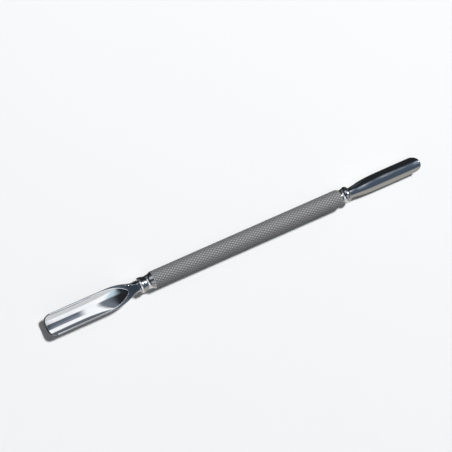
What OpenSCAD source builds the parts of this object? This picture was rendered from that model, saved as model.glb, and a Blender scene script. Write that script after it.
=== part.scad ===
// Double-ended cuticle pusher
// A knurled stainless tube carries a turned collar at each end. A broad gouge
// (hollow side up) is fixed in one collar and a narrow gouge (hollow side down)
// in the other.
// Millimetres. +X runs from the broad gouge to the narrow gouge, +Z is up, and
// the handle lies on the plane z = 0 with the origin under the tool's middle.

/* [Handle tube] */
// Outside diameter over the crests of the knurl
handle_d = 6.0; // [5:0.1:8]
// Full length of the tube
handle_len = 70.0; // [50:0.5:90]
// Wall thickness of the tube
tube_wall = 0.8; // [0.6:0.05:1.2]
// Length of the rounded-over end beside the narrow gouge
nose_len = 1.45; // [0.5:0.05:2.5]
// Diameter where the rounded-over end stops
nose_d = 5.0; // [4.6:0.1:5.8]

/* [Broad-gouge collar] */
// Visible length of the collar
wide_collar_len = 5.0; // [4:0.1:8]
// Diameter of the shoulder that meets the tube
wide_shoulder_d = 5.94; // [5:0.02:8]
// Diameter at the waist of the concave neck
wide_waist_d = 4.7; // [4:0.05:6]
// Distance from the tube to the waist
wide_waist_x = 2.2; // [1.5:0.05:3.5]
// Diameter of the flared lip
wide_lip_d = 5.36; // [4.6:0.02:6.5]
// Radius of the rounded edge of the lip
wide_lip_round = 0.2; // [0.05:0.05:0.5]

/* [Narrow-gouge collar] */
// Visible length of the collar
slim_collar_len = 3.3; // [2.5:0.05:6]
// Diameter at the waist of the neck
slim_waist_d = 4.76; // [4:0.02:6]
// Distance from the tube to the waist
slim_waist_x = 0.35; // [0.1:0.05:1]
// Diameter of the flared lip
slim_lip_d = 5.64; // [4.6:0.02:6.5]
// Distance from the tube to the crest of the lip
slim_lip_x = 2.05; // [1.5:0.05:3]
// Radius of the rounded nose of the lip
slim_nose_r = 1.25; // [0.8:0.05:1.6]

/* [Collar fixing] */
// Length of each spigot inside the tube
spigot_len = 6.0; // [4:0.5:10]
// Radial gap left for adhesive around the spigots and tangs
glue_gap = 0.01; // [0:0.01:0.05]

/* [Gouge shanks] */
// Diameter of the round shank where a gouge leaves its collar
shank_d = 3.7; // [3:0.02:5]
// Height over the axis at which the shank is cut flat, on the hollow side
flat_z = 1.5; // [0.8:0.05:1.7]
// Diameter of the tang inside the collar
tang_d = 2.6; // [2:0.1:3.2]
// Length of the tang
tang_len = 8.0; // [5:0.5:10]
// Width of the flat land along the rims
gouge_wall = 0.4; // [0.3:0.05:0.6]

/* [Broad gouge] */
// Length from the collar to the tip
wide_len = 33.85; // [28:0.1:45]
// Greatest width
wide_w = 7.86; // [6:0.02:11]
// Height of the rims over the axis, on the hollow side
wide_rim_z = 1.5; // [0.5:0.05:1.7]
// Depth of the belly under the axis near the tip
wide_belly_z = 0.5; // [0:0.05:2.6]
// Distance over which the back thins from the shank to the tip
wide_taper = 14; // [6:0.5:20]
// Depth of the hollow under the rims
wide_hollow_z = 1.55; // [0.8:0.05:3]
// Length over which the tip is rounded in plan
wide_tip_len = 3.1; // [1:0.1:8]
// Squareness of the tip in plan
wide_tip_square = 3.5; // [2:0.1:6]
// Distance over which the shank flares to the full width
wide_flare = 5.1; // [3:0.1:7]
// How late the flare starts: higher is later and steeper
wide_flare_power = 1.9; // [1:0.05:3]
// Distance from the collar to the end of the hollow
wide_hollow_start = 4.15; // [3:0.05:8]
// Distance from the collar to where the hollow has its full width
wide_hollow_wide = 16; // [12:0.5:20]
// Distance from the collar to where the hollow has its full depth
wide_hollow_deep = 23; // [16:0.5:28]

/* [Narrow gouge] */
// Length from the collar to the tip
slim_len = 26.9; // [22:0.1:40]
// Greatest width
slim_w = 5.48; // [4:0.02:8]
// Height of the rims over the axis, on the hollow side
slim_rim_z = 1.1; // [0.5:0.05:1.7]
// Depth of the crown under the axis, seen from the hollow side
slim_belly_z = 1.6; // [1.2:0.02:2.6]
// Distance over which the back settles from the shank to the trough
slim_taper = 6; // [3:0.5:20]
// Depth of the hollow under the rims
slim_hollow_z = 2.3; // [0.8:0.05:2.4]
// Length over which the tip is rounded in plan
slim_tip_len = 2.8; // [1:0.1:8]
// Squareness of the tip in plan
slim_tip_square = 2.4; // [2:0.05:6]
// Distance over which the shank flares to the full width
slim_flare = 3.8; // [3:0.1:7]
// How late the flare starts: higher is later and steeper
slim_flare_power = 1.45; // [1:0.05:3]
// Distance from the collar to the end of the hollow
slim_hollow_start = 3.6; // [2.5:0.05:7]
// Distance from the collar to where the hollow has its full width
slim_hollow_wide = 11; // [8:0.5:16]
// Distance from the collar to where the hollow has its full depth
slim_hollow_deep = 16; // [10:0.5:20]

/* [Hidden] */
$fn = 96;
axis_z = handle_d / 2;
bore_r = handle_d / 2 - tube_wall;
total_len = wide_len + wide_collar_len + handle_len + slim_collar_len + slim_len;
x_wide_face = -total_len / 2 + wide_len;
x_tube_a = x_wide_face + wide_collar_len;
x_tube_b = x_tube_a + handle_len;
x_slim_face = x_tube_b + slim_collar_len;
tang_hole_len = tang_len + 0.2;
shank_r = shank_d / 2;
flat_half_w = sqrt(shank_r * shank_r - flat_z * flat_z);
arc_steps = 22;
neck_steps = 30;
neck_len = 16;
body_steps = 6;
tip_steps = 12;

// radius of the arc that touches radius r0 at a distance of zero and r1 at a distance of d
function sweep_r(r0, r1, d) = (d * d + pow(r1 - r0, 2)) / (2 * (r1 - r0));

// puts a body that was turned about Z on the tool's axis, pointing along dir
module on_axis(x, dir = 1) {
    translate([x, 0, axis_z]) rotate([0, dir * 90, 0]) children();
}

module handle_tube() {
    nose_r = sweep_r(nose_d / 2, handle_d / 2, nose_len);
    straight = handle_len - nose_len;
    color([0.52, 0.52, 0.53])
    on_axis(x_tube_a) rotate_extrude()
    difference() {
        union() {
            square([handle_d / 2, straight]);
            intersection() {
                translate([handle_d / 2 - nose_r, straight]) circle(nose_r);
                translate([0, straight - 0.01]) square([handle_d / 2, nose_len + 0.01]);
            }
        }
        translate([0, -1]) square([bore_r, handle_len + 2]);
    }
}

// spigot in the tube and the hole for a tang, shared by the two collars
module collar_core(len) {
    difference() {
        union() {
            children();
            translate([0, -spigot_len]) square([bore_r - glue_gap, spigot_len + 0.01]);
        }
        translate([0, len - tang_hole_len]) square([tang_d / 2 + glue_gap, tang_hole_len + 1]);
    }
}

module wide_collar() {
    shoulder_r = wide_shoulder_d / 2;
    waist_r = wide_waist_d / 2;
    lip_r = wide_lip_d / 2;
    land = 0.15;
    sweep = sweep_r(waist_r, shoulder_r, wide_waist_x - land);
    color([0.80, 0.80, 0.81])
    on_axis(x_tube_a, -1) rotate_extrude()
    collar_core(wide_collar_len)
    difference() {
        union() {
            square([shoulder_r, wide_waist_x]);
            square([lip_r, wide_collar_len - wide_lip_round]);
            square([lip_r - wide_lip_round, wide_collar_len]);
            translate([lip_r - wide_lip_round, wide_collar_len - wide_lip_round]) circle(wide_lip_round);
        }
        translate([waist_r + sweep, wide_waist_x]) circle(sweep);
    }
}

module slim_collar() {
    waist_r = slim_waist_d / 2;
    lip_r = slim_lip_d / 2;
    sweep = sweep_r(waist_r, lip_r, slim_lip_x - slim_waist_x);
    color([0.80, 0.80, 0.81])
    on_axis(x_tube_b) rotate_extrude()
    collar_core(slim_collar_len)
    union() {
        difference() {
            square([lip_r, slim_lip_x]);
            translate([waist_r + sweep, slim_waist_x]) circle(sweep);
        }
        intersection() {
            translate([lip_r - slim_nose_r, slim_lip_x]) circle(slim_nose_r);
            translate([0, slim_lip_x - 0.01]) square([lip_r, slim_collar_len - slim_lip_x + 0.01]);
        }
        square([shank_d / 2, slim_collar_len]);
    }
}

// ---- gouge: a round shank, cut flat on one side, that opens into a trough ----
// Each is drawn with its collar at x = 0, its tip towards +X and its hollow upwards.

function mix(a, b, f) = a + (b - a) * f;

// share of the way from shank to trough, x millimetres from the collar
function ease(x, reach, power) = x <= 0 ? 0 : 1 - exp(-pow(x / reach, power));

// 1 at the near end of the hollow and 0 from x = full onwards
function left(x, start, full) = min(1, max(0, (full - x) / (full - start)));

// Closed section at x: the outer arc from rim to rim, then the land and the hollow back again.
// shape = [length, half width, rim height, belly depth, flare, flare power, tip length, tip squareness,
//          start of the hollow, where it is wide, where it is deep, its depth, taper of the back]
function ring(x, shape) =
    let (f = ease(x, shape[4], shape[5]),
         w = mix(flat_half_w, shape[1], f),
         z_rim = mix(flat_z, shape[2], f),
         z_belly = -mix(shank_r, shape[3], ease(x, shape[12], 2)),
         h = z_rim - z_belly,
         r = (w * w + h * h) / (2 * h),
         zc = z_belly + r,
         u = max(0, (x - shape[0] + shape[6]) / shape[6]),
         share = u > 0 ? pow(1 - u * u, 1 / shape[7]) : 1,
         half = u > 0 ? asin(w / r * share) : 2 * atan(h / w),
         land_y = (w - gouge_wall) * share,
         c = (w - gouge_wall) * sqrt(1 - pow(left(x, shape[8], shape[9]), 3)),
         d = shape[11] * (1 - pow(left(x, shape[8], shape[10]), 2.3)),
         rc = d > 0.001 ? (c * c + d * d) / (2 * d) : 0)
    concat(
        [for (k = [0:arc_steps]) let (a = half * (2 * k / arc_steps - 1))
            [x, r * sin(a), zc - r * cos(a)]],
        [for (k = [0:arc_steps])
            let (y = land_y * sin(80 * (1 - 2 * k / arc_steps)) / sin(80))
            [x, y, abs(y) < rc ? min(z_rim, z_rim - d + rc - sqrt(rc * rc - y * y)) : z_rim]]);

module gouge(shape) {
    len = shape[0];
    tip_len = shape[6];
    straight = len - tip_len - neck_len;
    stations = concat(
        [for (k = [0:neck_steps]) neck_len * k / neck_steps],
        [for (k = [1:body_steps]) neck_len + straight * k / body_steps],
        [for (k = [1:tip_steps]) len - tip_len + tip_len * sin(86 * k / tip_steps) / sin(86.1)]);
    m = 2 * (arc_steps + 1);
    last = len(stations) - 1;
    points = [for (x = stations) each ring(x, shape)];
    sides = [for (i = [0:last - 1], j = [0:m - 1])
        [i * m + j, (i + 1) * m + j, (i + 1) * m + (j + 1) % m, i * m + (j + 1) % m]];
    // cut into triangles so that none lies along the straight edge of the flat
    root_cap = [for (j = [0:arc_steps - 1]) let (a = j, b = j + 1, c = m - 2 - j, d = m - 1 - j)
        each (j < arc_steps / 2 ? [[a, b, d], [b, c, d]] : [[a, b, c], [a, c, d]])];
    tip_cap = [for (j = [0:arc_steps - 1])
        [last * m + j + 1, last * m + j, last * m + m - 1 - j, last * m + m - 2 - j]];
    polyhedron(points = points, faces = concat(sides, root_cap, tip_cap), convexity = 4);
    translate([-tang_len, 0, 0]) rotate([0, 90, 0]) cylinder(h = tang_len + 0.3, r = tang_d / 2);
}

module wide_gouge() {
    color([0.72, 0.74, 0.76])
    translate([x_wide_face, 0, axis_z]) rotate([0, 0, 180])
    gouge([wide_len, wide_w / 2, wide_rim_z, wide_belly_z, wide_flare, wide_flare_power, wide_tip_len,
           wide_tip_square, wide_hollow_start, wide_hollow_wide, wide_hollow_deep, wide_hollow_z,
           wide_taper]);
}

module slim_gouge() {
    color([0.72, 0.74, 0.76])
    translate([x_slim_face, 0, axis_z]) rotate([180, 0, 0])
    gouge([slim_len, slim_w / 2, slim_rim_z, slim_belly_z, slim_flare, slim_flare_power, slim_tip_len,
           slim_tip_square, slim_hollow_start, slim_hollow_wide, slim_hollow_deep, slim_hollow_z,
           slim_taper]);
}

handle_tube();
wide_collar();
slim_collar();
wide_gouge();
slim_gouge();
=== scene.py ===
"""Looks of the cuticle pusher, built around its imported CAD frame.

The tool is five pieces of stainless steel: a knurled tube, two turned collars and two polished
gouges. Each is remade here as a fine mesh in the place of its CAD node: the knurl is cut as real
geometry, the collars are turned from smooth profiles, and the gouges get rounded rims.
Lengths in the tables below are in millimetres; everything in the scene is in metres.
"""

import math

import bmesh
import bpy
import numpy as np
from mathutils import Matrix, Vector


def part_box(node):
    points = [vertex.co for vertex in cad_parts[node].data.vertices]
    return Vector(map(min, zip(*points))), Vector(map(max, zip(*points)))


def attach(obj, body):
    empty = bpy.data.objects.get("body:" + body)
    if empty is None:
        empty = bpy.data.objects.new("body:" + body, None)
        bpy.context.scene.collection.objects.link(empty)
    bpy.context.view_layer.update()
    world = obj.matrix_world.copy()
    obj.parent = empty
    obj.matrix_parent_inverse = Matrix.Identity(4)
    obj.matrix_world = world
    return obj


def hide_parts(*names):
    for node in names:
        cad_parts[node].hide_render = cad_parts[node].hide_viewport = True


MM = 0.001

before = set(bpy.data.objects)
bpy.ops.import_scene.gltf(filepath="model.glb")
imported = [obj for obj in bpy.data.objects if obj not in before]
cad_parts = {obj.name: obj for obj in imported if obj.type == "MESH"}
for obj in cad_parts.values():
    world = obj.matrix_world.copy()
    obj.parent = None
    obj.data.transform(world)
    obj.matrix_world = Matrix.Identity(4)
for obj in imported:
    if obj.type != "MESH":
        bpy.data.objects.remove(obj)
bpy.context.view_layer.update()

# ---------------------------------------------------------------- places taken from the frame

TUBE_LOW, TUBE_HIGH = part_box("handle_tube")
TUBE_START, TUBE_END = TUBE_LOW[0], TUBE_HIGH[0]
TUBE_R = (TUBE_HIGH[2] - TUBE_LOW[2]) / 2
AXIS_Z = (TUBE_HIGH[2] + TUBE_LOW[2]) / 2
WIDE_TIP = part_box("wide_gouge")[0][0]
SLIM_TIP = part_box("slim_gouge")[1][0]
WIDE_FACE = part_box("wide_collar")[0][0]
SLIM_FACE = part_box("slim_collar")[1][0]

# ---------------------------------------------------------------- sizes shared with the CAD, mm

BORE_R = 2.2
NOSE_LEN, NOSE_R = 1.45, 2.5
SPIGOT_LEN, SPIGOT_R = 6.0, 2.19
TANG_LEN, TANG_R = 8.0, 1.3
TANG_GAP, TANG_END_GAP = 0.01, 0.2
SHANK_R, FLAT_Z = 1.85, 1.5
FLAT_HALF_W = math.sqrt(SHANK_R ** 2 - FLAT_Z ** 2)
LAND = 0.4

# A gouge's shape, x counted from its collar's face. half_w, rim and belly: half the full width, and
# the heights of the rims and the back, from the axis; flare, power and taper: how they get there.
# tip and square: the length of the rounded end and how square it is. hollow: where the hollow
# starts; hollow_wide, hollow_deep and hollow_z: where it is at full width, at full depth, and how
# deep. spoon: how far the back has risen near the tip.
WIDE = dict(half_w=3.93, rim=1.5, belly=0.5, taper=14.0, flare=5.1, power=1.9, tip=3.1, square=3.5,
            hollow=4.15, hollow_wide=16.0, hollow_deep=23.0, hollow_z=1.55, spoon=0.12)
SLIM = dict(half_w=2.74, rim=1.1, belly=1.6, taper=6.0, flare=3.8, power=1.45, tip=2.8, square=2.4,
            hollow=3.6, hollow_wide=11.0, hollow_deep=16.0, hollow_z=2.3, spoon=0.30)

# ---------------------------------------------------------------- detail that the CAD leaves out, mm

SPOON_FROM, SPOON_REACH = 20.0, 13.0
EDGE_ROUND, NECK_EDGE_ROUND = 0.12, 0.3
NECK_ROUND_FROM, NECK_ROUND_REACH = 2, 6
NECK_DIP, NECK_DIP_REACH = 0.06, 3.2

# the knurl, crossed helical grooves: how many, how far apart along the tube, how deep, and half
# their width as a share of the spacing; KNURL_STEPS is the mesh's steps a groove
KNURL_STARTS = 18
KNURL_PITCH = 1.42
KNURL_DEPTH = 0.10
KNURL_CUT = 0.42
KNURL_STEPS = 8

# fineness of the gouges' meshes: points on the back and in the hollow, and steps of the sections
BACK_STEPS, HOLLOW_STEPS = 72, 64
NECK_SECTIONS, START_SECTIONS, TIP_SECTIONS = 28, 14, 44
START_LEN, THROAT_END = 0.5, 12
THROAT_STEP, BODY_STEP = 0.12, 0.3
LAST_SHARE = 0.3
TIP_ZONE, SLIVER = 0.8 * MM, 0.005 * MM


# ---------------------------------------------------------------- mesh helpers

def add_mesh(name, points, faces, smooth_angle=None):
    """A mesh object from points in metres. Facets stay flat unless smooth_angle is given."""
    mesh = bpy.data.meshes.new(name)
    mesh.from_pydata([tuple(p) for p in points], [], [tuple(f) for f in faces])
    mesh.validate()
    mesh.update()
    if smooth_angle is not None:
        mesh.shade_smooth()
        mesh.set_sharp_from_angle(angle=math.radians(smooth_angle))
    obj = bpy.data.objects.new(name, mesh)
    bpy.context.scene.collection.objects.link(obj)
    return obj


def sweep_radius(r0, r1, distance):
    """Radius of the arc that leaves r0 level and reaches r1 after the distance."""
    return (distance ** 2 + (r1 - r0) ** 2) / (2 * (r1 - r0))


def arc(centre, radius, start, stop, steps):
    """Points (x, r) on an arc, angles in degrees from the +x direction."""
    angles = np.radians(np.linspace(start, stop, steps + 1))
    return [(centre[0] + radius * math.cos(a), centre[1] + radius * math.sin(a)) for a in angles]


def turned(name, profile, origin_x, direction, segments=144):
    """Revolves a closed (x, r) profile in mm about the tool's axis, as a lathe does."""
    m, n = segments, len(profile)
    turn = np.linspace(0, 2 * np.pi, m, endpoint=False)
    points = []
    for x, r in profile:
        for t in turn:
            points.append((origin_x + direction * x * MM, r * MM * math.sin(t),
                           AXIS_Z + r * MM * math.cos(t)))
    faces = []
    for i in range(n):
        k = (i + 1) % n
        for j in range(m):
            quad = (i * m + j, i * m + (j + 1) % m, k * m + (j + 1) % m, k * m + j)
            faces.append(quad[::-1] if direction > 0 else quad)
    return add_mesh(name, points, faces, smooth_angle=35)


# ---------------------------------------------------------------- knurled handle tube

def groove(w):
    """Depth of one groove, 1 at its bottom and 0 on the crest, w counted in groove spacings."""
    off = np.abs(w - np.round(w))
    return np.clip(1 - off / KNURL_CUT, 0, 1)


def make_handle():
    """The tube, its knurl cut from a grid whose diagonals follow the grooves."""
    step = KNURL_PITCH / KNURL_STEPS
    length = (TUBE_END - TUBE_START) / MM
    crest = TUBE_R / MM
    around = KNURL_STARTS * KNURL_STEPS
    least_step = 0.3 * step
    xs = np.append(np.arange(0, length - least_step, step), length)
    nose_sweep = sweep_radius(NOSE_R, crest, NOSE_LEN)
    past = np.clip(xs - (length - NOSE_LEN), 0, None)
    hull = crest - nose_sweep + np.sqrt(nose_sweep ** 2 - past ** 2)
    i, j = np.meshgrid(np.arange(len(xs)), np.arange(around), indexing="ij")
    along = xs[i] / KNURL_PITCH
    turn = j / KNURL_STEPS
    cut_u, cut_v = groove(turn + along), groove(turn - along)
    depth = np.maximum(cut_u, cut_v)
    r = hull[i] - KNURL_DEPTH * depth
    angle = 2 * np.pi * j / around
    outer = np.stack([TUBE_START + xs[i] * MM, r * MM * np.sin(angle),
                      AXIS_Z + r * MM * np.cos(angle)], axis=-1).reshape(-1, 3)
    last = len(xs) - 1
    bore = []
    for x in (TUBE_START, TUBE_END):
        for t in 2 * np.pi * np.arange(around) / around:
            bore.append((x, BORE_R * MM * math.sin(t), AXIS_Z + BORE_R * MM * math.cos(t)))
    faces = []
    for a in range(last):
        for b in range(around):
            c = (b + 1) % around
            p00, p01 = a * around + b, a * around + c
            p10, p11 = p00 + around, p01 + around
            mid_turn, mid_along = (b + 0.5) / KNURL_STEPS, (xs[a] + xs[a + 1]) / 2 / KNURL_PITCH
            if groove(mid_turn + mid_along) > groove(mid_turn - mid_along):
                faces += [(p00, p10, p01), (p01, p10, p11)]
            else:
                faces += [(p00, p11, p01), (p00, p10, p11)]
    base = len(outer)
    for b in range(around):
        c = (b + 1) % around
        faces.append((b, c, base + c, base + b))
        faces.append((base + around + b, base + around + c, last * around + c, last * around + b))
        faces.append((base + b, base + c, base + around + c, base + around + b))
    obj = add_mesh("knurled_tube", np.vstack([outer, bore]), faces)
    shade = obj.data.attributes.new("groove", "FLOAT", "POINT")
    shade.data.foreach_set("value", np.concatenate([depth.reshape(-1), np.zeros(len(bore))]))
    return obj


# ---------------------------------------------------------------- turned collars

def concave(waist_x, waist_r, from_x, to_x, sweep, steps=28):
    """The neck between two stations, part of one circle whose lowest point is the waist."""
    xs = np.linspace(from_x, to_x, steps + 1)
    return [(x, waist_r + sweep - math.sqrt(sweep ** 2 - (x - waist_x) ** 2)) for x in xs]


def core(length):
    """The hole for the tang and the spigot, which close a collar's profile."""
    hole, hole_chamfer, pinhole, spigot_chamfer = TANG_R + TANG_GAP, 0.05, 0.02, 0.15
    floor_x = length - TANG_LEN - TANG_END_GAP
    return [(length, hole + hole_chamfer), (length - hole_chamfer, hole), (floor_x, hole),
            (floor_x, pinhole), (-SPIGOT_LEN, pinhole), (-SPIGOT_LEN, SPIGOT_R - spigot_chamfer),
            (-SPIGOT_LEN + spigot_chamfer, SPIGOT_R), (0.0, SPIGOT_R)]


def make_wide_collar():
    length, shoulder, waist, waist_x, lip = 5.0, 2.97, 2.35, 2.2, 2.68
    break_edge, band, lip_flat, round_r = 0.03, 0.15, 0.4, 0.2
    sweep = sweep_radius(waist, shoulder, waist_x - band)
    reach = math.sqrt(sweep ** 2 - (sweep - (lip - waist)) ** 2)
    profile = [(0.0, shoulder - break_edge), (break_edge, shoulder)]
    profile += concave(waist_x, waist, band, waist_x + reach, sweep)
    profile += [(length - round_r - lip_flat, lip)]
    profile += arc((length - round_r, lip - round_r), round_r, 90, 0, 8)
    profile += core(length)
    return turned("wide_collar_turned", profile, TUBE_START, -1)


def make_slim_collar():
    length, waist, waist_x, lip, lip_x, nose = 3.3, 2.38, 0.35, 2.82, 2.05, 1.25
    sweep = sweep_radius(waist, lip, lip_x - waist_x)
    profile = concave(waist_x, waist, 0.0, lip_x, sweep)
    profile += arc((lip_x, lip - nose), nose, 88, 17, 16)
    profile += [(length, SHANK_R)]
    profile += core(length)
    return turned("slim_collar_turned", profile, TUBE_END, 1)


# ---------------------------------------------------------------- gouges

def ease(x, reach, power):
    """Rises smoothly from 0 at the collar towards 1 beyond the reach."""
    return 1 - math.exp(-((max(x, 0) / reach) ** power))


def left(x, start, full):
    """1 at the near end of the hollow and 0 from x = full onwards."""
    return min(1.0, max(0.0, (full - x) / (full - start)))


def mix(a, b, f):
    return a + (b - a) * f


def half_width(x, shape):
    return mix(FLAT_HALF_W, shape["half_w"], ease(x, shape["flare"], shape["power"]))


def stations(length, shape):
    """Places of the sections from the collar to the tip, as (x, share of the full width, in the tip).

    They are close together where the hollow starts, and evenly spaced along the outline of the tip.
    """
    start, tip = shape["hollow"], shape["tip"]
    body = list(np.linspace(0, start, NECK_SECTIONS))
    body += [start + START_LEN * (k / START_SECTIONS) ** 2 for k in range(1, START_SECTIONS + 1)]
    body += list(np.arange(start + START_LEN + 0.1, THROAT_END, THROAT_STEP))
    body += list(np.arange(THROAT_END, length - tip - 0.1, BODY_STEP))
    turn = np.linspace(0, math.pi / 2, 600)
    x = length - tip + tip * np.sin(turn)
    share = np.clip(np.cos(turn), 0, 1) ** (2 / shape["square"])
    run = np.concatenate([[0], np.cumsum(np.hypot(np.diff(x), np.diff(share) * shape["half_w"]))])
    even = np.linspace(0, run[-1], TIP_SECTIONS)
    tip_x, tip_share = np.interp(even, run, x), np.interp(even, run, share)
    ends = [(x, f, True) for x, f in zip(tip_x, tip_share) if f > LAST_SHARE]
    return [(x, 1.0, False) for x in body] + ends + [(length, 0.0, True)]


def round_corner(a, corner, b, steps):
    """A rounded corner from a to b, tangent to both sides."""
    turn = np.linspace(0, math.pi / 2, steps + 1)
    return [corner + (1 - math.sin(t)) * (a - corner) + (1 - math.cos(t)) * (b - corner) for t in turn]


def on_arc(radius, low_z, angle, at):
    """A point of a section at x = at, on an arc whose lowest point is (0, low_z)."""
    return np.array([at, radius * math.sin(angle), low_z + radius * (1 - math.cos(angle))])


def gouge_section(x, share, in_tip, normal, shape):
    """One closed ring of the gouge at x: the back, a rim, the hollow and the other rim.

    normal is the outline's direction in the plan. At the tip, the land and the rounded edges are set
    in from the outline along it.
    """
    nx, ny = normal
    w = half_width(x, shape)
    z_rim = mix(FLAT_Z, shape["rim"], ease(x, shape["flare"], shape["power"]))
    z_rim -= NECK_DIP * math.exp(-((x / NECK_DIP_REACH) ** 2))
    lift = shape["spoon"] * (max(0.0, x - SPOON_FROM) / SPOON_REACH) ** 2
    z_belly = lift - mix(SHANK_R, shape["belly"], ease(x, shape["taper"], 2))
    h = z_rim - z_belly
    r = (w * w + h * h) / (2 * h)
    half = math.asin(min(1.0, w / r * share)) if in_tip else 2 * math.atan2(h, w)
    c = (w - LAND) * math.sqrt(1 - left(x, shape["hollow"], shape["hollow_wide"]) ** 3)
    d = shape["hollow_z"] * (1 - left(x, shape["hollow"], shape["hollow_deep"]) ** 2.3) - lift
    hollow_cut = c > 1e-6 and d > 1e-6
    r_in = (c * c + d * d) / (2 * d) if hollow_cut else 0.0

    corner = on_arc(r, z_belly, half, x)
    rounding = mix(NECK_EDGE_ROUND, EDGE_ROUND, ease(x - NECK_ROUND_FROM, NECK_ROUND_REACH, 2))
    start = max(half - rounding * ny / r, 0.0)
    outer_end = on_arc(r, z_belly, start, x - rounding * nx)
    if hollow_cut:
        floor_z = z_rim - d
        hollow_x = x - LAND * nx
        lip_y = max(w * share - LAND * ny, 0.0) if in_tip else c
        lip_angle = math.asin(min(1.0, lip_y / r_in))
        lip = on_arc(r_in, floor_z, lip_angle, hollow_x)
        back = EDGE_ROUND if in_tip else min(EDGE_ROUND, 0.5 * c)
        hollow_x -= back * nx
        angle = max(lip_angle - back * ny / r_in, 0.0)
        lip_in = on_arc(r_in, floor_z, angle, hollow_x)
        lip_out = lip + back * (corner - lip) / np.linalg.norm(corner - lip)
    else:
        floor_z, hollow_x, angle = z_rim, x, 0.0
        lip = lip_in = lip_out = np.array([x, 0.0, z_rim])
    land_way = (lip - corner) / np.linalg.norm(lip - corner)
    rim = round_corner(outer_end, corner, corner + rounding * land_way, 5)
    near_edge = rim[-1]
    rim += [mix(near_edge, lip_out, t) for t in (0.03, 0.15, 0.5, 0.85, 0.97)]
    rim += round_corner(lip_out, lip, lip_in, 6)
    outer = [on_arc(r, z_belly, start * (2 * k / BACK_STEPS - 1), x - rounding * nx)
             for k in range(1, BACK_STEPS)]
    hollow = [on_arc(r_in, floor_z, angle * (1 - 2 * k / HOLLOW_STEPS), hollow_x)
              for k in range(1, HOLLOW_STEPS)]
    other_rim = [p * np.array([1, -1, 1]) for p in reversed(rim)]
    return outer + rim + hollow + other_rim


def make_gouge(name, face_x, tip_x, shape, side, up):
    """side is the direction along x in which the tip points; up is +1 when the hollow faces up."""
    length = abs(tip_x - face_x) / MM
    places = stations(length, shape)
    plan = np.array([(x, share * half_width(x, shape)) for x, share, in_tip in places])
    slope = np.gradient(plan, axis=0)
    size = np.maximum(np.hypot(slope[:, 0], slope[:, 1]), 1e-9)
    normals = np.stack([-slope[:, 1] / size, slope[:, 0] / size], axis=1)
    normals[[not in_tip for x, share, in_tip in places]] = (0, 1)
    normals[-1] = (1, 0)
    rings = [gouge_section(*place, normal, shape) for place, normal in zip(places, normals)]
    m = len(rings[0])
    tang, chamfer, root = [], 0.1, 0.02
    for x, r in [(-TANG_LEN, TANG_R - chamfer), (-TANG_LEN + chamfer, TANG_R), (-root, TANG_R)]:
        tang.append([np.array([x, *(p[1:] / np.hypot(*p[1:]) * r)]) for p in rings[0]])
    rings = tang + rings
    points = np.array(rings).reshape(-1, 3) * MM
    points = points * np.array([side, side * up, up]) + np.array([face_x, 0, AXIS_Z])
    faces = []
    for a in range(len(rings) - 1):
        for b in range(m):
            c = (b + 1) % m
            faces.append((a * m + b, (a + 1) * m + b, (a + 1) * m + c, a * m + c))
    faces.append(tuple(range(m)))
    obj = add_mesh(name, points, faces)
    weld(obj, tip_x)
    obj.data.shade_smooth()
    obj.data.set_sharp_from_angle(angle=math.radians(40))
    return obj


def weld(obj, tip_x):
    """Joins the points that meet on the middle line, clears slivers at the tip, turns faces outwards."""
    bm = bmesh.new()
    bm.from_mesh(obj.data)
    bmesh.ops.remove_doubles(bm, verts=bm.verts, dist=2e-7)
    bmesh.ops.dissolve_degenerate(bm, edges=bm.edges, dist=1e-7)
    for again in range(2):
        edges = [e for e in bm.edges if all(abs(v.co.x - tip_x) < TIP_ZONE for v in e.verts)]
        bmesh.ops.dissolve_degenerate(bm, edges=edges, dist=SLIVER)
    bmesh.ops.recalc_face_normals(bm, faces=bm.faces)
    bm.to_mesh(obj.data)
    bm.free()


# ---------------------------------------------------------------- materials

def new_material(name):
    material = bpy.data.materials.new(name)
    material.use_nodes = True
    tree = material.node_tree
    return material, tree, tree.nodes["Principled BSDF"]


def add_node(tree, kind, **values):
    """A node with its inputs or settings given by name."""
    node = tree.nodes.new(kind)
    for key, value in values.items():
        if key in node.inputs:
            node.inputs[key].default_value = value
        else:
            setattr(node, key, value)
    return node


def noise(tree, coords, stretch, detail):
    """Noise whose features are 1 / stretch metres long on each axis."""
    mapping = add_node(tree, "ShaderNodeMapping")
    mapping.inputs["Scale"].default_value = stretch
    tree.links.new(coords, mapping.inputs["Vector"])
    tex = add_node(tree, "ShaderNodeTexNoise", Scale=1.0, Detail=detail, Roughness=0.55)
    tree.links.new(mapping.outputs["Vector"], tex.inputs["Vector"])
    return tex.outputs["Fac"]


def remap(tree, value, low, high, from_low=0.3, from_high=0.7):
    """Spreads a value over low to high; noise lies mostly between 0.3 and 0.7."""
    node = add_node(tree, "ShaderNodeMapRange")
    node.inputs["From Min"].default_value = from_low
    node.inputs["From Max"].default_value = from_high
    node.inputs["To Min"].default_value = low
    node.inputs["To Max"].default_value = high
    tree.links.new(value, node.inputs["Value"])
    return node.outputs["Result"]


def math_node(tree, operation, *values):
    """A Math node over sockets or plain numbers, and its result."""
    node = tree.nodes.new("ShaderNodeMath")
    node.operation = operation
    for k, value in enumerate(values):
        if isinstance(value, (int, float)):
            node.inputs[k].default_value = value
        else:
            tree.links.new(value, node.inputs[k])
    return node.outputs[0]


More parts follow.
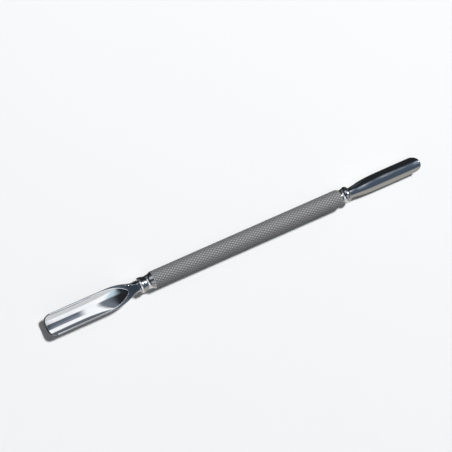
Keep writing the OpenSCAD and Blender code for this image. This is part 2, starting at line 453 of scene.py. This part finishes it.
def mix_colours(tree, factor, first, second, **settings):
    """A colour mix. The factor is a socket or a number, the colours are sockets or (r, g, b)."""
    node = add_node(tree, "ShaderNodeMix", data_type="RGBA", **settings)
    factor_in, first_in, second_in, result = 0, 6, 7, 2
    if isinstance(factor, (int, float)):
        node.inputs[factor_in].default_value = factor
    else:
        tree.links.new(factor, node.inputs[factor_in])
    for place, colour in ((first_in, first), (second_in, second)):
        if isinstance(colour, tuple):
            node.inputs[place].default_value = (*colour, 1)
        else:
            tree.links.new(colour, node.inputs[place])
    return node.outputs[result]


def add_bump(tree, height, distance, under=None):
    """A bump of a height in metres, on top of another bump where one is given."""
    bump = add_node(tree, "ShaderNodeBump", Strength=1.0, Distance=distance)
    tree.links.new(height, bump.inputs["Height"])
    if under is not None:
        tree.links.new(under, bump.inputs["Normal"])
    return bump.outputs["Normal"]


def polished_steel(name, base, rough, lines, line_height, ripple_height):
    """Mirror steel: faint polishing lines, smudges that dull it a little, and a cool tint.

    rough is the roughness where it is clean, where it is smudged, and what the lines add.
    """
    smudges, ripples, smudge_tint = (260, 420, 420), (70, 800, 800), 0.93
    material, tree, shader = new_material(name)
    coords = add_node(tree, "ShaderNodeTexCoord").outputs["Object"]
    shader.inputs["Metallic"].default_value = 1.0
    smudge = noise(tree, coords, smudges, detail=4)
    streak = noise(tree, coords, lines, detail=2)
    clean, smudged, lined = rough
    dull = math_node(tree, "ADD", remap(tree, smudge, clean, smudged), remap(tree, streak, 0.0, lined))
    tree.links.new(dull, shader.inputs["Roughness"])
    dark = tuple(c * smudge_tint for c in base)
    tint = mix_colours(tree, remap(tree, smudge, 0, 1), base, dark)
    tree.links.new(tint, shader.inputs["Base Color"])
    ripple = add_bump(tree, noise(tree, coords, ripples, detail=2), ripple_height)
    tree.links.new(add_bump(tree, streak, line_height, under=ripple), shader.inputs["Normal"])
    return material


def knurled_steel():
    """Satin steel, lighter on the crests and rougher down in the grooves, whose darker colour is painted
    shade.
    """
    # crest is the steel's own colour; valley is painted shade for the bottom of the grooves
    crest, valley_painted_shade = (0.37, 0.37, 0.375), (0.12, 0.121, 0.124)
    crest_rough, valley_rough, grime_rough, grime_shade = 0.58, 0.66, 0.08, 0.86
    grime_size, grain_size, grain_height = (900, 900, 900), (9000, 9000, 9000), 0.004 * MM
    material, tree, shader = new_material("knurled_steel_look")
    coords = add_node(tree, "ShaderNodeTexCoord").outputs["Object"]
    shader.inputs["Metallic"].default_value = 0.4
    depth = add_node(tree, "ShaderNodeAttribute", attribute_name="groove").outputs["Fac"]
    grime = noise(tree, coords, grime_size, detail=4)
    # groove depth blends the colour towards the valley's: painted shade in the grooves, with random
    # grime darkening on top
    metal = mix_colours(tree, depth, crest, valley_painted_shade)
    groove_shade_and_grime = mix_colours(tree, 1.0, metal, remap(tree, grime, grime_shade, 1.0), blend_type="MULTIPLY")
    tree.links.new(groove_shade_and_grime, shader.inputs["Base Color"])
    dull = math_node(tree, "ADD", remap(tree, depth, crest_rough, valley_rough, 0, 1),
                     remap(tree, grime, 0.0, grime_rough))
    tree.links.new(dull, shader.inputs["Roughness"])
    grain = noise(tree, coords, grain_size, detail=2)
    tree.links.new(add_bump(tree, grain, grain_height), shader.inputs["Normal"])
    return material


def floor_material():
    """Pale matt board with very faint clouds in its tone."""
    light, dark, clouds = (0.83, 0.832, 0.835), (0.80, 0.802, 0.805), (6, 6, 6)
    material, tree, shader = new_material("pale_floor_look")
    coords = add_node(tree, "ShaderNodeTexCoord").outputs["Object"]
    tone = mix_colours(tree, noise(tree, coords, clouds, detail=2), light, dark)
    tree.links.new(tone, shader.inputs["Base Color"])
    shader.inputs["Roughness"].default_value = 0.6
    return material


# ---------------------------------------------------------------- stage, light, camera

def make_floor():
    half = 3.0
    corners = [(-half, -half, 0), (half, -half, 0), (half, half, 0), (-half, half, 0)]
    floor = add_mesh("pale_floor", corners, [(0, 1, 2, 3)])
    floor.data.materials.append(floor_material())
    floor.visible_glossy = False


def step_up(tree, value, edge, soft):
    """0 well below the edge and 1 well above it."""
    node = add_node(tree, "ShaderNodeMapRange", interpolation_type="SMOOTHSTEP")
    node.inputs["From Min"].default_value = edge - soft
    node.inputs["From Max"].default_value = edge + soft
    tree.links.new(value, node.inputs["Value"])
    return node.outputs["Result"]


def between(tree, value, low, high, soft):
    """1 where the value lies between low and high, easing to 0 on either side."""
    inside = math_node(tree, "SUBTRACT", 1.0, step_up(tree, value, high, soft))
    return math_node(tree, "MULTIPLY", step_up(tree, value, low, soft), inside)


# The studio's walls, lamps and cards, as the polished steel sees them. Lift is the angle in degrees
# above the front (-Y) horizon, over the top to the back; lean is how far a direction points along
# +X. Each patch covers the ones before it.
# name, lift from, to and softness, lean from, to and softness, colour
STUDIO = [
    ("side_wall_left", -10, 190, 10, -0.90, -0.36, 0.05, (0.07, 0.075, 0.085)),
    ("left_lamp_back", 120, 158, 6, -0.85, -0.34, 0.05, (0.62, 0.65, 0.70)),
    ("left_lamp_front", 40, 80, 6, -0.85, -0.36, 0.05, (0.40, 0.42, 0.46)),
    ("floor_left", -120, 30, 8, -0.88, -0.02, 0.05, (0.40, 0.39, 0.375)),
    ("back_wall", 140, 205, 6, -0.12, 0.2, 0.05, (0.15, 0.165, 0.18)),
    ("front_wall", -83, 41, 3, -0.115, 0.21, 0.045, (0.78, 0.78, 0.77)),
    ("front_wall_right", -120, 34, 12, 0.21, 1.3, 0.03, (0.42, 0.40, 0.36)),
    ("floor_right", 240, 300, 14, 0.21, 1.3, 0.03, (0.30, 0.285, 0.26)),
    ("haze_right", 34, 128, 12, 0.19, 1.3, 0.04, (0.080, 0.105, 0.145)),
    ("haze_left", 72, 148, 8, -0.095, 0.02, 0.05, (0.19, 0.215, 0.25)),
    ("haze", 76, 117, 3, 0.10, 0.21, 0.03, (0.135, 0.165, 0.21)),
    ("haze_bright", 97, 118, 4, 0.08, 0.15, 0.02, (0.25, 0.27, 0.32)),
    ("haze_deep", 60, 120, 4, 0.150, 0.222, 0.012, (0.040, 0.056, 0.074)),
    ("right_lamp_back", 128, 150, 5, 0.5, 1.3, 0.06, (0.32, 0.34, 0.36)),
    ("side_lamp", 106, 136, 6, 0.20, 0.274, 0.009, (0.70, 0.76, 0.82)),
    ("side_card", 78, 125, 8, 0.326, 0.45, 0.012, (0.24, 0.28, 0.34)),
    ("front_card", 36, 74, 6, -0.125, 0.0, 0.045, (0.66, 0.82, 0.88)),
    ("softbox_front", 41, 75, 3, -0.045, 0.155, 0.03, (1.25, 1.25, 1.25)),
    ("softbox_top", 73, 119, 3, 0.005, 0.102, 0.022, (1.25, 1.25, 1.25)),
    ("softbox_back", 116, 145, 3, 0.015, 0.165, 0.02, (1.25, 1.25, 1.25)),
]
STUDIO_DARK = (0.022, 0.024, 0.027)
# the studio's strength on matt surfaces, as a share of what the polished ones mirror
STUDIO_FILL = 0.5

KEY_AT, KEY_SIZE, KEY_POWER = (2.32, 1.62, 4.14), 0.6, 295.0


def make_world():
    world = bpy.data.worlds.new("studio")
    bpy.context.scene.world = world
    world.use_nodes = True
    tree = world.node_tree
    way = add_node(tree, "ShaderNodeTexCoord").outputs["Generated"]
    parts = tree.nodes.new("ShaderNodeSeparateXYZ")
    tree.links.new(way, parts.inputs[0])
    lean = parts.outputs["X"]
    front = math_node(tree, "MULTIPLY", parts.outputs["Y"], -1.0)
    angle = math_node(tree, "ARCTAN2", parts.outputs["Z"], front)
    lift = math_node(tree, "WRAP", math_node(tree, "DEGREES", angle), 270.0, -90.0)
    colour = STUDIO_DARK
    for name, lift_0, lift_1, lift_soft, lean_0, lean_1, lean_soft, tint in STUDIO:
        mask = math_node(tree, "MULTIPLY", between(tree, lift, lift_0, lift_1, lift_soft),
                         between(tree, lean, lean_0, lean_1, lean_soft))
        colour = mix_colours(tree, mask, colour, tint, label=name)
    background = tree.nodes["Background"]
    tree.links.new(colour, background.inputs["Color"])
    on_matt = tree.nodes.new("ShaderNodeLightPath").outputs["Is Diffuse Ray"]
    tree.links.new(remap(tree, on_matt, 1.0, STUDIO_FILL, 0, 1), background.inputs["Strength"])


def make_key_light():
    """A square softbox behind the tool on the right, facing its middle."""
    light = bpy.data.lights.new("key_box", "AREA")
    light.shape = "SQUARE"
    light.size = KEY_SIZE
    light.energy = KEY_POWER
    obj = bpy.data.objects.new("key_box", light)
    obj.location = KEY_AT
    obj.rotation_euler = (-Vector(KEY_AT)).to_track_quat("-Z", "Y").to_euler()
    bpy.context.scene.collection.objects.link(obj)


# The view: the lift and lean of the camera's place, as above, how far the picture is turned about
# the line of sight, the camera's distance in metres, its lens in mm, and how far its aim lies to
# the left of the tool's middle and above it in the picture, in metres.
VIEW_LIFT, VIEW_LEAN = math.radians(97.98), 0.201
VIEW_TURN = math.radians(23.70)
VIEW_DISTANCE, VIEW_LENS = 0.6957, 166.062
AIM_LEFT, AIM_ABOVE = 3.3133 * MM, 5.7191 * MM


def make_camera():
    level = math.sqrt(1 - VIEW_LEAN ** 2)
    back = Vector((-VIEW_LEAN, -level * math.cos(VIEW_LIFT), level * math.sin(VIEW_LIFT)))
    along = (Vector((1, 0, 0)) - back * back.x).normalized()
    across = back.cross(along)
    right = math.cos(VIEW_TURN) * along - math.sin(VIEW_TURN) * across
    up = math.sin(VIEW_TURN) * along + math.cos(VIEW_TURN) * across
    aim = Vector((0, 0, AXIS_Z)) - right * AIM_LEFT + up * AIM_ABOVE
    spot = aim + back * VIEW_DISTANCE
    data = bpy.data.cameras.new("camera")
    data.lens = VIEW_LENS
    data.clip_start, data.clip_end = 0.05, 10
    camera = bpy.data.objects.new("camera", data)
    camera.matrix_world = Matrix((
        (right.x, up.x, back.x, spot.x),
        (right.y, up.y, back.y, spot.y),
        (right.z, up.z, back.z, spot.z),
        (0, 0, 0, 1)))
    bpy.context.scene.collection.objects.link(camera)
    bpy.context.scene.camera = camera


# ---------------------------------------------------------------- the scene

make_camera()

turned_look = polished_steel("turned_steel_look", (0.74, 0.75, 0.77), rough=(0.07, 0.13, 0.05),
                             lines=(7000, 60, 60), line_height=0.002 * MM, ripple_height=0.003 * MM)
mirror_look = polished_steel("polished_steel_look", (0.76, 0.78, 0.81), rough=(0.035, 0.07, 0.02),
                             lines=(120, 4500, 4500), line_height=0.0012 * MM,
                             ripple_height=0.012 * MM)
knurl_look = knurled_steel()

handle = make_handle()
wide_collar = make_wide_collar()
slim_collar = make_slim_collar()
wide_gouge = make_gouge("wide_gouge_polished", WIDE_FACE, WIDE_TIP, WIDE, side=-1, up=1)
slim_gouge = make_gouge("slim_gouge_polished", SLIM_FACE, SLIM_TIP, SLIM, side=1, up=-1)

PIECES = [
    (handle, "handle_tube", "knurled_steel", knurl_look),
    (wide_collar, "wide_collar", "turned_steel", turned_look),
    (slim_collar, "slim_collar", "turned_steel", turned_look),
    (wide_gouge, "wide_gouge", "polished_steel", mirror_look),
    (slim_gouge, "slim_gouge", "polished_steel", mirror_look),
]
for piece, node, slot, look in PIECES:
    piece.data.materials.append(look)
    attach(piece, "root")
    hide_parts(node)

make_floor()
make_world()
make_key_light()
bpy.context.scene.view_settings.view_transform = "Standard"
